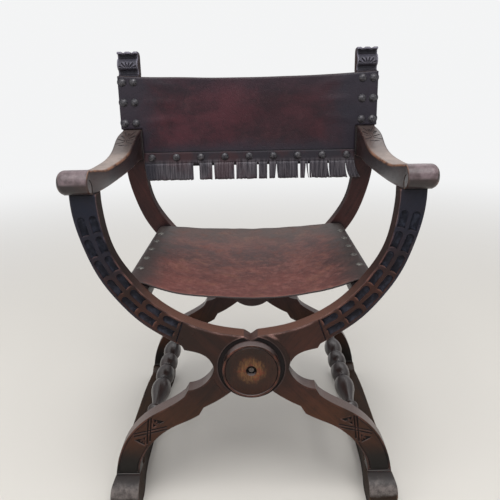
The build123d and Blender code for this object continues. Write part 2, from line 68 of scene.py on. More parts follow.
def maths(tree, operation, a, b=0.0, clamp=False):
    return node(tree, "Math", {0: a, 1: b}, operation=operation, use_clamp=clamp).outputs[0]


def plus(tree, a, b):
    return maths(tree, "ADD", a, b)


def minus(tree, a, b):
    return maths(tree, "SUBTRACT", a, b)


def times(tree, value, *others):
    for other in others:
        value = maths(tree, "MULTIPLY", value, other)
    return value


def larger(tree, a, b):
    return maths(tree, "MAXIMUM", a, b)


def unsigned(tree, a):
    return maths(tree, "ABSOLUTE", a)


def blend(tree, factor, a, b, most=1.0):
    # from colour a to colour b by a factor, which counts for that much at the most
    if most != 1.0:
        factor = times(tree, factor, most)
    return node(tree, "Mix", {0: factor, 6: a, 7: b}, data_type="RGBA").outputs[2]


def stretched(tree, vector, scale):
    return node(tree, "VectorMath", {0: vector, 1: scale}, operation="MULTIPLY").outputs[0]


def length_of(tree, vector):
    return node(tree, "VectorMath", {0: vector}, operation="LENGTH").outputs["Value"]


def apart(tree, vector):
    return node(tree, "SeparateXYZ", {0: vector}).outputs


def mottle(tree, vector, scale, detail=3.0, rough=0.55, twist=0.0):
    grain = {"Vector": vector, "Scale": scale, "Detail": detail, "Roughness": rough, "Distortion": twist}
    return node(tree, "TexNoise", grain).outputs[0]


def blotches(tree, vector, kind, *levels):
    # a mottle of that scale, detail and roughness, drawn out to those levels
    return ramp(tree, mottle(tree, vector, *kind), *levels)


def wandering(tree, value, vector, reach, *kind):
    # a value that a mottle pushes up by that reach, so that a border set by it wanders
    return plus(tree, value, times(tree, mottle(tree, vector, *kind), reach))


def nearness(tree, distance, **settings):
    return node(tree, "AmbientOcclusion", {"Distance": distance}, samples=6, **settings).outputs["AO"]


def new_group(name, takes, gives):
    # takes and gives list each socket as its name and its kind, and a plain name is a number's
    tree = bpy.data.node_groups.new(name, "ShaderNodeTree")
    for sockets, in_out in ((takes, "INPUT"), (gives, "OUTPUT")):
        for label, kind in [(s, "Float") if isinstance(s, str) else s for s in sockets]:
            tree.interface.new_socket(label, in_out=in_out, socket_type="NodeSocket" + kind)
    return tree, tree.nodes.new("NodeGroupInput").outputs, tree.nodes.new("NodeGroupOutput").inputs


def place(tree, group, inputs):
    n = tree.nodes.new("ShaderNodeGroup")
    n.node_tree = group
    feed(tree, n.inputs, inputs)
    return n.outputs


# worn arrises, and dirty hollows and gaps between parts that are darkened as painted shade too, found from
# how near the other faces of the wood are
wear_group, take, give = new_group("worn_and_grimed", [("Vector", "Vector")],
                                   ["Worn", "Grime_and_shade", "Arris", "Cut"])
near = nearness(wear_group, 0.005, inside=True, only_local=True)
rubs = ramp(wear_group, near, 0.84, 0.50)
feed(wear_group, give, {
    "Worn": times(wear_group, rubs, blotches(wear_group, take["Vector"], (38.0, 5.0, 0.65), 0.40, 0.62)),
    "Grime_and_shade": ramp(wear_group, nearness(wear_group, 0.014), 0.95, 0.45),
    "Arris": ramp(wear_group, near, 0.95, 0.75),
    "Cut": ramp(wear_group, nearness(wear_group, 0.004, only_local=True), 0.93, 0.60)})

# oak figure: long fibres, short dark pores and broad patches in the stain
oak_group, take, give = new_group(
    "stained_oak",
    [("Vector", "Vector"), ("Stain", "Color"), ("Warm", "Color"), ("Rubbed", "Color"), "Warmth", "Wear"],
    [("Color", "Color"), "Roughness", "Height", "Arris", "Cut"])


def grown(stretch, detail, rough):
    # a mottle drawn out along the grain, which runs along X
    return mottle(oak_group, stretched(oak_group, bent, stretch), 1.0, detail, rough)


def swayed(tree, vector, scale, detail, reach):
    # a place shifted a little, so that straight lines bend
    wander = node(tree, "TexNoise", {"Vector": vector, "Scale": scale, "Detail": detail}).outputs["Color"]
    shifts = {0: wander, 1: (reach, reach, reach), 2: vector}
    return node(tree, "VectorMath", shifts, operation="MULTIPLY_ADD").outputs[0]


bent = swayed(oak_group, take["Vector"], 7.0, 2.0, 0.014)
fibre = grown((9.0, 210.0, 210.0), 5.0, 0.6)
bands = grown((2.2, 46.0, 46.0), 3.0, 0.5)
pores = ramp(oak_group, grown((75.0, 950.0, 950.0), 2.0, 0.5), 0.60, 0.70)
patches = mottle(oak_group, take["Vector"], 9.0, 4.0, 0.55, 0.4)
edge = place(oak_group, wear_group, {"Vector": take["Vector"]})
warm_here = times(oak_group, ramp(oak_group, patches, 0.34, 0.68), take["Warmth"])
warm_bands = times(oak_group, ramp(oak_group, bands, 0.42, 0.66), 0.28)
warm_here = maths(oak_group, "ADD", warm_here, warm_bands, clamp=True)
colour = blend(oak_group, warm_here, take["Stain"], take["Warm"])
colour = blend(oak_group, ramp(oak_group, fibre, 0.42, 0.72), colour, (0.006, 0.004, 0.004, 1.0), 0.35)
colour = blend(oak_group, pores, colour, (0.004, 0.003, 0.003, 1.0), 0.55)
colour = blend(oak_group, times(oak_group, edge["Worn"], take["Wear"]), colour, take["Rubbed"])
# hollows and the places near other parts are painted near black, as dirt and painted shade
colour = blend(oak_group, edge["Grime_and_shade"], colour, (0.006, 0.006, 0.008, 1.0), 0.85)
# fine cuts and scored lines are painted near black, as wax and painted shade
colour = blend(oak_group, edge["Cut"], colour, (0.006, 0.005, 0.006, 1.0), 0.88)
gloss = plus(oak_group, times(oak_group, patches, 0.24), 0.20)
gloss = plus(oak_group, gloss, times(oak_group, edge["Grime_and_shade"], 0.25))
gloss = plus(oak_group, gloss, times(oak_group, pores, 0.15))
height = minus(oak_group, times(oak_group, fibre, 0.35), times(oak_group, pores, 0.6))
height = wandering(oak_group, height, take["Vector"], 0.8, 60.0, 3.0)
feed(oak_group, give, {"Color": colour, "Roughness": gloss, "Height": height})
feed(oak_group, give, {label: edge[label] for label in ("Arris", "Cut")})


def finish_shader(name, **constants):
    # a new material, its nodes, its shader and the place of each point on the chair
    m = bpy.data.materials.new(name)
    m.use_nodes = True
    tree = m.node_tree
    shader = tree.nodes["Principled BSDF"]
    feed(tree, shader.inputs, {key.replace("_", " "): value for key, value in constants.items()})
    return m, tree, shader, node(tree, "TexCoord").outputs["Object"]


def shown(tree, shader, colour, rough, height, strength, distance):
    bump = node(tree, "Bump", {"Height": height, "Strength": strength, "Distance": distance}).outputs[0]
    feed(tree, shader.inputs, {"Base Color": colour, "Roughness": rough, "Normal": bump})


def looks(tree):
    # which way the surface looks, as its three parts
    return apart(tree, node(tree, "NewGeometry").outputs["Normal"])


def board(tree, where, turn, shift):
    # turn brings the grain of the board onto X, and shift picks the board
    return node(tree, "Mapping", {"Vector": where, "Location": shift, "Rotation": turn}).outputs[0]


def sawn_oak(tree, vector, dark, red, pale, warmth=0.55, wear=0.75):
    takes = {"Vector": vector, "Stain": dark, "Warm": red, "Rubbed": pale, "Warmth": warmth, "Wear": wear}
    return place(tree, oak_group, takes)


oak_relief = 0.0006
pivot_high = 0.3104


def from_bolt(tree, where):
    # how far a point lies from the axis of the bolts
    off = node(tree, "VectorMath", {0: where, 1: (0.0, 0.0, pivot_high)}, operation="SUBTRACT").outputs[0]
    return length_of(tree, stretched(tree, off, (1.0, 0.0, 1.0)))


# the curves' centre and radii, how deep the carving's face and floor lie, and how high the lines on the foot
curve_across, curve_high, curve_inner, border_inner = 0.004, 0.652, 0.278, 0.316
carved_face, carved_floor = 0.2558, 0.2508
foot_crease, scored_low, scored_high = 0.0755, 0.0672, 0.0710
toe_wander = 0.020, 60.0, 5.0, 0.65
toe_rubs_and_sheen = (80.0, 5.0, 0.7), 0.36, 0.62, 0.25, 0.9


def leg_oak(name, turn, shift, browns, blacks, black_from):
    # brown and dusty at the feet, blackened towards the top, with old wax and dirt in the carving, which is
    # also painted near black as shade
    m, tree, shader, where = finish_shader(name, Specular_IOR_Level=0.22)
    across, deep, high = apart(tree, where)
    beside, ahead, up = looks(tree)
    facing, out_y, out_x = unsigned(tree, ahead), unsigned(tree, deep), unsigned(tree, across)
    bolt_gap = from_bolt(tree, where)
    sweep = {0: plus(tree, out_x, curve_across), 2: minus(tree, high, curve_high)}
    sweep = length_of(tree, node(tree, "CombineXYZ", sweep).outputs[0])
    # black at the top, and along the outer border of the carved front faces
    topmost = ramp(tree, wandering(tree, high, where, 0.10, 7.0, 3.0), black_from + 0.02, black_from + 0.14)
    border = times(tree, ramp(tree, sweep, border_inner, border_inner + 0.004),
                   ramp(tree, high, 0.36, 0.44), ramp(tree, deep, 0.0, -0.1))
    black = times(tree, larger(tree, topmost, border), ramp(tree, facing, 0.15, 0.6))
    dark = blend(tree, black, browns[0], blacks[0])
    # below the crossing the wood is a yellower brown
    low = ramp(tree, high, 0.28, 0.20)
    dark = blend(tree, low, dark, ink(47, 26, 15))
    # the top of the toes is blue-grey, and soot lies above their crease
    foot_at = wandering(tree, high, where, 0.016, 45.0, 4.0)
    crease = foot_crease - 0.001, foot_crease + 0.001
    dark = blend(tree, ramp(tree, foot_at, *reversed(crease)), dark, ink(48, 46, 47))
    # the fronts of the toes are rubbed pale, with a painted sheen on them
    toe = times(tree, ramp(tree, wandering(tree, high, where, *toe_wander), 0.072, 0.056),
                ramp(tree, facing, 0.15, 0.4))
    dark = blend(tree, times(tree, toe, blotches(tree, where, *toe_rubs_and_sheen)), dark, ink(114, 106, 103))
    soot = times(tree, ramp(tree, foot_at, 0.175, 0.094), ramp(tree, foot_at, *crease))
    dark = blend(tree, soot, dark, ink(17, 17, 16), 0.9)
    red = blend(tree, low, blend(tree, black, browns[1], blacks[1]), ink(76, 43, 27))
    red = blend(tree, ramp(tree, foot_at, 0.165, 0.110), red, dark)
    # the arrises are less worn round the roundel
    joint = times(tree, ramp(tree, bolt_gap, 0.066, 0.070), ramp(tree, bolt_gap, 0.088, 0.083))
    out = sawn_oak(tree, board(tree, where, turn, shift), dark, red, blend(tree, black, browns[2], blacks[2]),
                   wear=times(tree, minus(tree, 1.0, joint), 0.75))
    # the flutes are told by their depth, and the lines of the foot by their height; both are painted near
    # black, as wax and painted shade
    cut_in = times(tree, ramp(tree, out_y, carved_face + 0.001, carved_face),
                   ramp(tree, out_y, carved_floor - 0.0006, carved_floor), ramp(tree, facing, 0.10, 0.24))
    ridges = times(tree, out["Arris"], ramp(tree, high, 0.20, 0.26, 0.8, 1.0))
    cut_in = times(tree, cut_in, minus(tree, 1.0, ridges))
    for line in (scored_low, scored_high):
        scored = ramp(tree, unsigned(tree, minus(tree, high, line)), 0.0012, 0.0005)
        cut_in = larger(tree, cut_in, times(tree, scored, ramp(tree, facing, 0.3, 0.6)))
    bluish = times(tree, ramp(tree, high, 0.34, 0.40), ramp(tree, bolt_gap, 0.085, 0.105))
    wax_and_shade = blend(tree, bluish, ink(18, 14, 14), ink(12, 14, 24))
    # the dark in the flutes is mottled pale blue-grey, as dust and painted glints
    dust_and_glints = times(tree, blotches(tree, where, (75.0, 5.0, 0.7), 0.44, 0.62), bluish)
    wax_and_shade = blend(tree, dust_and_glints, wax_and_shade, ink(50, 53, 66), 0.6)
    # faces that look up are painted grey, as dust and painted sheen, and the sides of the upper curve get
    # painted shade
    dust_and_sheen_up = times(tree, ramp(tree, up, 0.20, 0.75), ramp(tree, high, 0.52, 0.40),
                   ramp(tree, facing, 0.40, 0.20))
    dust_and_sheen_tint = blend(tree, ramp(tree, high, 0.30, 0.38), ink(118, 104, 100), ink(126, 92, 80))
    colour = blend(tree, dust_and_sheen_up, out["Color"], dust_and_sheen_tint, 0.55)
    shaded = times(tree, ramp(tree, facing, 0.4, 0.1), ramp(tree, high, 0.42, 0.54))
    colour = blend(tree, shaded, colour, ink(26, 20, 19), 0.45)
    # the sunk ring round the roundel is brown at its bottom
    colour = blend(tree, ramp(tree, bolt_gap, 0.0690, 0.0665, 0.0, 0.65), colour, ink(64, 52, 51))
    # the arris of the curve's inner edge is worn by hands and knees, and painted pale as a highlight line
    inner = larger(tree, ramp(tree, sweep, curve_inner, curve_inner - 0.003), ramp(tree, out_x, 0.125, 0.110))
    worn_and_highlit_lip = times(tree, ramp(tree, out["Arris"], 0.45, 1.0), inner, ramp(tree, facing, 0.2, 0.5),
                ramp(tree, high, 0.366, 0.376),
                blotches(tree, where, (34.0, 5.0, 0.65), 0.34, 0.58, 0.2, 0.8))
    colour = blend(tree, worn_and_highlit_lip, colour, ink(158, 122, 114))
    # the relief of the finials is rubbed, and painted pale as a highlight
    rubbed_and_highlit_relief = times(tree, ramp(tree, high, 0.866, 0.870), minus(tree, 1.0, out["Cut"]),
                   ramp(tree, out["Arris"], 0.45, 0.95, 0.0, 0.75))
    colour = blend(tree, rubbed_and_highlit_relief, colour, ink(118, 115, 127))
    # the flutes and scored lines take the dark of wax and painted shade
    colour = blend(tree, cut_in, colour, wax_and_shade, 0.90)
    matt = larger(tree, cut_in, times(tree, black, 0.6))
    # the ridge between the two scored lines is painted pale as a highlight
    ridge = ramp(tree, unsigned(tree, minus(tree, high, (scored_low + scored_high) / 2)), 0.0011, 0.0006)
    colour = blend(tree, ridge, colour, ink(98, 94, 92), 0.7)
    dull = plus(tree, out["Roughness"], times(tree, shaded, 0.4))
    dull = plus(tree, dull, ramp(tree, matt, 0.2, 0.9, 0.0, 0.25))
    shown(tree, shader, colour, dull, out["Height"], 0.5, oak_relief)
    return m


def dress(name, material):
    for slot in parts[name].material_slots:
        slot.material = material


# the stain, the warm streaks and the rubbed arrises, where the wood is brown and where it is blackened
front_browns = ink(36, 20, 15), ink(68, 36, 27), ink(116, 78, 68)
front_blacks = ink(23, 26, 39), ink(36, 33, 42), ink(76, 68, 76)
rear_browns = ink(44, 24, 24), ink(68, 36, 33), ink(104, 78, 76)
rear_blacks = ink(46, 46, 56), ink(62, 60, 68), ink(118, 114, 124)
front, rear = (front_browns, front_blacks, 0.50), (rear_browns, rear_blacks, 0.80)
for leg, slope, shift, finish in (
        ("front_leg_left", -48, (0.3, 0.0, 0.1), front), ("front_leg_right", 48, (1.7, 0.0, 0.4), front),
        ("rear_leg_left", -62, (2.3, 0.4, 0.2), rear), ("rear_leg_right", 62, (3.1, 0.7, 0.5), rear)):
    dress(leg, leg_oak("oak_" + leg, (0, math.radians(slope), 0), shift, *finish))

# ---------------------------------------------------------------- arms
# Shaped oak armrests, each from one block, with a scrolled front end and a carved leaf by the post.
# Hands have rubbed the tops grey-brown, and tan along the inner edge; the tops also carry a painted sheen.
lengthwise = (0, 0, math.radians(90))


def arm_oak(name, shift):
    m, tree, shader, where = finish_shader(name, Specular_IOR_Level=0.45)
    across, deep, high = apart(tree, where)
    beside, ahead, up = looks(tree)
    out = sawn_oak(tree, board(tree, where, lengthwise, shift), ink(38, 30, 31), ink(66, 45, 42),
                   ink(134, 102, 86))
    # the rolled front end is rubbed all round but not on its flat ends, and unevenly
    scroll = times(tree, ramp(tree, deep, -0.232, -0.248), ramp(tree, unsigned(tree, beside), 0.85, 0.45))
    patchy = times(tree, scroll, blotches(tree, where, (52.0, 6.0, 0.7), 0.38, 0.60, 0.45, 0.0))
    leaf = ramp(tree, out["Cut"], 0.04, 0.40)
    # faces that look up and the roll are painted pale grey, as rubbing and painted sheen
    handled_and_sheen = ramp(tree, plus(tree, up, times(tree, scroll, 0.92)), 0.72, 1.02)
    handled_and_sheen = times(tree, handled_and_sheen, blotches(tree, where, (26.0, 5.0, 0.6), 0.28, 0.60, 0.5, 0.95),
                    ramp(tree, deep, 0.12, -0.06, 0.15, 1.0), minus(tree, 1.0, patchy),
                    minus(tree, 1.0, times(tree, out["Arris"], 0.7)), minus(tree, 1.0, leaf))
    grey = blend(tree, scroll, ink(166, 149, 139), ink(120, 104, 107))
    colour = blend(tree, handled_and_sheen, out["Color"], grey)
    # the rounded edge towards the sitter is worn to tan wood
    inward = times(tree, beside, times(tree, maths(tree, "SIGN", across), -1.0))
    tan = times(tree, ramp(tree, times(tree, inward, up), 0.06, 0.34), ramp(tree, deep, 0.10, -0.02),
                minus(tree, 1.0, scroll), blotches(tree, where, (40.0, 5.0, 0.65), 0.34, 0.56, 0.15, 0.8))
    colour = blend(tree, tan, colour, ink(150, 110, 86))
    # the cuts of the carved leaf are painted near black, as painted shade
    colour = blend(tree, leaf, colour, ink(20, 17, 18), 0.85)
    shown(tree, shader, colour, out["Roughness"], out["Height"], 0.4, oak_relief)
    return m


dress("arm_left", arm_oak("oak_arm_left", (0.9, 0.2, 0.7)))
dress("arm_right", arm_oak("oak_arm_right", (4.2, 0.2, 0.7)))

# ---------------------------------------------------------------- seat rails, stretchers and runners
# Plain rails under the seat leather, turned stretchers between the feet, and sled runners on the floor.
# The runners' toes are blue-grey, and rubbed pale where shoes meet them, with a painted sheen on that pale
# patch.


def oak(name, shift, warmth, dark, red, pale, shine):
    m, tree, shader, where = finish_shader(name, Specular_IOR_Level=shine)
    out = sawn_oak(tree, board(tree, where, lengthwise, shift), dark, red, pale, warmth)
    shown(tree, shader, out["Color"], out["Roughness"], out["Height"], 0.5, oak_relief)
    return m


def runner_oak(name, shift):
    # browner and duller than the rest
    m, tree, shader, where = finish_shader(name, Specular_IOR_Level=0.15)
    across, deep, high = apart(tree, where)
    out = sawn_oak(tree, board(tree, where, lengthwise, shift), ink(34, 21, 12), ink(60, 38, 23),
                   ink(104, 80, 62), 0.5)
    facing = unsigned(tree, looks(tree)[1])
    toe = times(tree, ramp(tree, facing, 0.15, 0.4), ramp(tree, unsigned(tree, deep), 0.240, 0.262))
    toe_at = wandering(tree, high, where, *toe_wander)
    blue = times(tree, toe, ramp(tree, toe_at, 0.036, 0.046))
    colour = blend(tree, blue, out["Color"], ink(50, 47, 47), 0.85)
    # the pale patch on the toes is wear with a painted sheen
    pale_toe_and_sheen = times(tree, ramp(tree, toe_at, 0.072, 0.056), ramp(tree, toe_at, 0.037, 0.049),
                     blotches(tree, where, *toe_rubs_and_sheen))
    colour = blend(tree, times(tree, toe, pale_toe_and_sheen), colour, ink(114, 106, 103))
    dull = plus(tree, out["Roughness"], ramp(tree, facing, 0.4, 0.15, 0.0, 0.3))
    shown(tree, shader, colour, dull, out["Height"], 0.5, oak_relief)
    return m


rail_inks = ink(37, 25, 21), ink(60, 38, 30), ink(108, 80, 70)
stretcher_inks = ink(42, 32, 31), ink(64, 44, 40), ink(116, 96, 92)
for side, start in (("left", 5.1), ("right", 6.3)):
    dress("seat_rail_" + side, oak("oak_rail_" + side, (start, 0.1, 0.2), 0.3, *rail_inks, 0.4))
    dress("stretcher_" + side, oak("oak_stretcher_" + side, (start, 0.4, 0.6), 0.5, *stretcher_inks, 0.75))
    dress("runner_" + side, runner_oak("oak_runner_" + side, (start, 0.7, 0.1)))

# ---------------------------------------------------------------- roundels
# Turned oak discs over the two crossings, with the bolts through their middles.
# They are rubbed to bare orange wood round the bolt, and their faces that look up, the upper rims among them,
# carry a painted grey sheen.


def roundel_oak(name, shift):
    m, tree, shader, where = finish_shader(name, Specular_IOR_Level=0.25)
    disc = board(tree, where, (0, math.radians(90), 0), shift)
    out = sawn_oak(tree, disc, ink(29, 16, 10), ink(56, 30, 19), ink(124, 74, 60), 0.6, 0.85)
    bolt_gap = from_bolt(tree, where)
    worn_at = wandering(tree, bolt_gap, stretched(tree, where, (1.0, 1.0, 0.8)), 0.028, 130.0, 6.0, 0.7)
    bare = times(tree, ramp(tree, worn_at, 0.046, 0.031), ramp(tree, bolt_gap, 0.0095, 0.012))
    streak = blotches(tree, stretched(tree, disc, (70.0, 300.0, 300.0)), (1.0, 4.0), 0.32, 0.68)
    tan = blend(tree, streak, ink(76, 46, 30), ink(124, 88, 52))
    rust = blotches(tree, where, (90.0, 4.0, 0.65), 0.54, 0.62)
    tan = blend(tree, rust, tan, ink(116, 54, 36), 0.75)
    colour = blend(tree, bare, out["Color"], tan, 0.75)
    ingrained = blotches(tree, stretched(tree, disc, (120.0, 420.0, 420.0)), (1.0, 3.0), 0.56, 0.64)
    colour = blend(tree, ingrained, colour, ink(24, 17, 14), 0.4)
    # faces that look up get a painted grey sheen
    colour = blend(tree, ramp(tree, looks(tree)[2], 0.45, 0.9, 0.0, 0.6), colour, ink(124, 112, 110))
    shown(tree, shader, colour, out["Roughness"], out["Height"], 0.6, oak_relief)
    return m


dress("front_boss", roundel_oak("oak_front_roundel", (0.5, 0.9, 0.3)))
dress("rear_boss", roundel_oak("oak_rear_roundel", (1.5, 0.2, 0.8)))

# ---------------------------------------------------------------- bolts and nails
# Iron pivot bolts with nuts on their inner ends, and hammered brass nails with domed heads.
# All have darkened with age, and their tops are rubbed.
metal_group, take, give = new_group("aged_metal",
                                    [("Vector", "Vector"), ("Dark", "Color"), ("Bright", "Color")],
                                    [("Color", "Color"), "Roughness", "Height"])
patina = mottle(metal_group, take["Vector"], 260.0, 5.0, 0.65)
dents = mottle(metal_group, take["Vector"], 150.0, 2.0, 0.5)
colour = blend(metal_group, ramp(metal_group, patina, 0.38, 0.66), take["Dark"], take["Bright"])
# painted shade: the metal is darkened near black where other faces lie near, as at the rims of the heads and
# in the sockets
crevice_shade = ramp(metal_group, nearness(metal_group, 0.006), 0.30, 0.08)
feed(metal_group, give, {"Color": blend(metal_group, crevice_shade, colour, (0.008, 0.008, 0.010, 1.0)),
                         "Roughness": ramp(metal_group, patina, 0.3, 0.7, 0.52, 0.36),
                         "Height": plus(metal_group, dents, times(metal_group, patina, 0.4))})


def aged_metal(name, dark, bright, metallic):
    m, tree, shader, where = finish_shader(name, Metallic=metallic)
    out = place(tree, metal_group, {"Vector": where, "Dark": dark, "Bright": bright})
    shown(tree, shader, out["Color"], out["Roughness"], out["Height"], 0.5, 0.0008)
    return m


iron = aged_metal("forged_iron", ink(70, 62, 58), ink(110, 99, 93), 0.3)
nail_metal = aged_metal("nail_metal", ink(46, 46, 52), ink(94, 91, 93), 0.5)
dull_nail_metal = aged_metal("dull_nail_metal", ink(58, 56, 54), ink(106, 102, 97), 0.3)
for name, metal in (("pivot_bolts", iron), ("pivot_nuts", iron),
                    ("post_nails_left", nail_metal), ("post_nails_right", nail_metal),
                    ("seat_nails_left", dull_nail_metal), ("seat_nails_right", dull_nail_metal)):
    dress(name, metal)

# ---------------------------------------------------------------- seat leather
# One thick cow hide slung between the seat rails, wrapped over them and nailed along their tops.
# The middle has sagged under its sitters; the grain is rubbed red-brown there and is black by the nails.
hide_thick = 0.0035


def into_scene(name, shape, materials):
    for f in shape.faces:
        f.smooth = True
    mesh = bpy.data.meshes.new(name)
    shape.to_mesh(mesh)
    shape.free()
    for m in materials:
        mesh.materials.append(m)
    ob = bpy.data.objects.new(name, mesh)
    bpy.context.scene.collection.objects.link(ob)
    return ob


def woven(first, tall, wide, kept=lambda j, i: True):
    # the faces between the points of a grid, whose rows lie one after the other from the first point on
    corners = [(first + j * wide + i) for j in range(tall - 1) for i in range(wide - 1) if kept(j, i)]
    return [(k, k + 1, k + wide + 1, k + wide) for k in corners]


def hide_object(name, points, quads, thick, materials, round_edge=0.35):
    # closes a surface into a hide: the points are the grain side, and the flesh side lies a thickness behind
    skin = bmesh.new()
    grain_side = [skin.verts.new(p) for p in points]
    for q in quads:
        skin.faces.new([grain_side[i] for i in q])
    bmesh.ops.delete(skin, geom=[v for v in skin.verts if not v.link_faces], context="VERTS")
    skin.normal_update()
    tops = list(skin.faces)
    edges = [e for e in skin.edges if e.is_boundary]
    below = {v: skin.verts.new(v.co - v.normal * thick) for v in list(skin.verts)}
    outward, middle = {}, {}
    for e in edges:
        out = ((e.verts[0].co + e.verts[1].co) / 2 - e.link_faces[0].calc_center_median()).normalized()
        for v in e.verts:
            outward.setdefault(v, []).append(out)
    for v, outs in outward.items():
        away = sum(outs, Vector()) / len(outs)
        middle[v] = skin.verts.new(v.co - v.normal * thick / 2 + away * thick * round_edge)
    for f in tops:
        skin.faces.new([below[v] for v in reversed(f.verts[:])])
    for e in edges:
        a, b = e.verts
        loop = e.link_faces[0].verts[:]
        if loop[(loop.index(a) + 1) % len(loop)] is not b:
            a, b = b, a
        for quad in ((b, a, middle[a], middle[b]), (middle[b], middle[a], below[a], below[b])):
            skin.faces.new(quad).material_index = 1
    return into_scene(name, skin, materials)


def measured(path):
    # running length along a polyline
    lengths = [0.0]
    for a, b in zip(path, path[1:]):
        lengths.append(lengths[-1] + math.dist(a, b))
    return lengths


def along(path, lengths, at):
    i = 1
    while i < len(lengths) - 1 and lengths[i] < at:
        i += 1
    t = (at - lengths[i - 1]) / max(1e-9, lengths[i] - lengths[i - 1])
    return tuple(a + (b - a) * t for a, b in zip(path[i - 1], path[i]))


def waver(x, y, z):
    # a smooth random number between -1 and 1, the same each time
    return noise.noise(Vector((x, y, z)))


rail_out, rail_top, rail_round = 0.2458, 0.4789, 0.0128
slung_half, slung_steps, hem_low = 0.195, 26, 0.4545
seat_front, seat_back, front_bow = -0.2165, 0.2150, 0.0075
seat_nails = [(s * 0.2265, y) for s in (-1, 1) for y in (-0.136, -0.068, 0.0, 0.068, 0.136)]
# a nail presses the hide down this far round itself
press_reach = 0.013


def seat_half(y):
    # the upper face of the hide across the chair, from the middle to the edge hanging outside the rail;
    # the front hangs like a hammock, and the back is drawn up almost flat between the rails
    low = 0.4430 + 0.0528 * y + 0.2887 * y * y
    near_rail = 0.4743 + 0.0108 * y + 0.0321 * y * y
    on_rail = 0.4772 + 0.0054 * y + 0.0161 * y * y
    sag = 2.1 - 3.2 * y
    steps = [i / slung_steps for i in range(slung_steps + 1)]
    path = [(slung_half * k, low + (near_rail - low) * k ** sag) for k in steps]
    path += [(0.2015, near_rail + 0.6 * (on_rail - near_rail)), (0.208, on_rail)]
    path += [(0.215, (on_rail + rail_top) / 2 + 0.0003), (0.222, rail_top)]
    for i in range(9):
        a = math.radians(90 - i * 11.25)
        path.append((rail_out + rail_round * (math.cos(a) - 1), rail_top + rail_round * (math.sin(a) - 1)))
    path += [(rail_out, 0.460), (rail_out, hem_low)]
    return path


seat_across, seat_deep = 150, 96
seat_flat_width = 2 * measured(seat_half(0.0))[-1]


def seat_point(u, v):
    # u from -1 to 1 across the chair, v from 0 at the front edge to 1 at the back
    side = -1.0 if u < 0 else 1.0
    slack = 0.0045 * waver(u * 3.1, 4.0, 2.0) + 0.0016 * waver(u * 13.0, 1.0, 7.0)
    front_edge = seat_front - front_bow * (1 - u * u) + slack * 0.5
    back_edge = seat_back + slack * 0.4 + 0.0015 * waver(u * 7.0, 9.0, 3.0)
    y = front_edge + (back_edge - front_edge) * v
    path = seat_half(y)
    lengths = measured(path)
    x, z = along(path, lengths, abs(u) * lengths[-1])
    x *= side
    inside = max(0.0, 1 - (abs(x) / 0.215) ** 4)
    broad_waves = 0.0022 * waver(x * 9, y * 7, 0.3)
    z += inside * (broad_waves + 0.0010 * waver(x * 26, y * 22, 5.0))
    pressed = 0.0
    for nx, ny in seat_nails:
        gap = math.hypot(x - nx, y - ny)
        pressed = max(pressed, math.exp(-(gap / press_reach) ** 2))
        # pulls run in from the nail towards the middle
        if abs(x) < abs(nx) and gap < 0.09 and side * nx > 0:
            pull = math.exp(-(gap / 0.030) ** 2) * min(1, (abs(nx) - abs(x)) / 0.02)
            z += 0.0004 * math.cos((y - ny) * 230) * pull
    over_rail = abs(x) - (slung_half + 0.001)
    if over_rail > 0 and z > 0.465:
        z += 0.0009 * (1 - pressed) * min(1.0, over_rail / 0.01)
    return Vector((x, y, z))


def seat_kept(j, i):
    # the hide's back corners are pared round
    a = max(0.0, abs(2 * (i + 0.5) / seat_across - 1) - 0.945) / 0.055
    b = max(0.0, (j + 0.5) / seat_deep - 0.955) / 0.045
    return a * a + b * b <= 1.05


points = [seat_point(2 * i / seat_across - 1, j / seat_deep)
          for j in range(seat_deep + 1) for i in range(seat_across + 1)]
quads = woven(0, seat_deep + 1, seat_across + 1, seat_kept)

# leather grain: fine pebble, soft lumps and creases, and scuffed patches
hide_group, take, give = new_group("hide_grain", [("Vector", "Vector"), "Crease"],
                                   ["Height", "Cracks", "Scuffs"])
pebble = node(hide_group, "TexVoronoi", {"Vector": take["Vector"], "Scale": 620.0, "Randomness": 1.0},
              feature="SMOOTH_F1").outputs["Distance"]
crease_at = swayed(hide_group, take["Vector"], 30.0, 3.0, 0.012)
creases = node(hide_group, "TexVoronoi", {"Vector": crease_at, "Scale": 70.0},
               feature="DISTANCE_TO_EDGE").outputs["Distance"]
creases = times(hide_group, minus(hide_group, 1.0, ramp(hide_group, creases, 0.0, 0.10)), take["Crease"])
lumps = times(hide_group, mottle(hide_group, take["Vector"], 90.0, 3.0, 0.6), 0.9)
height = plus(hide_group, times(hide_group, pebble, 0.35), lumps)
feed(hide_group, give, {"Height": minus(hide_group, height, creases), "Cracks": creases,
                        "Scuffs": blotches(hide_group, take["Vector"], (30.0, 6.0, 0.7), 0.52, 0.66)})
grain_relief = 0.0008


def edge_fade(tree, value, start, full, uneven, where):
    # 0 in the middle of the hide, 1 at an edge, with a wandering border
    wander = times(tree, minus(tree, mottle(tree, where, 16.0, 8.0, 0.74), 0.5), uneven)
    return ramp(tree, plus(tree, value, wander), start, full)


seat_finish, tree, shader, where = finish_shader("seat_hide_grain", Specular_IOR_Level=0.28)
across, deep, high = apart(tree, where)
grain = place(tree, hide_group, {"Vector": where, "Crease": 0.3})
broad = mottle(tree, where, 12.0, 7.0, 0.66, 0.2)
colour = blend(tree, ramp(tree, broad, 0.36, 0.64), ink(60, 36, 34), ink(94, 55, 50))
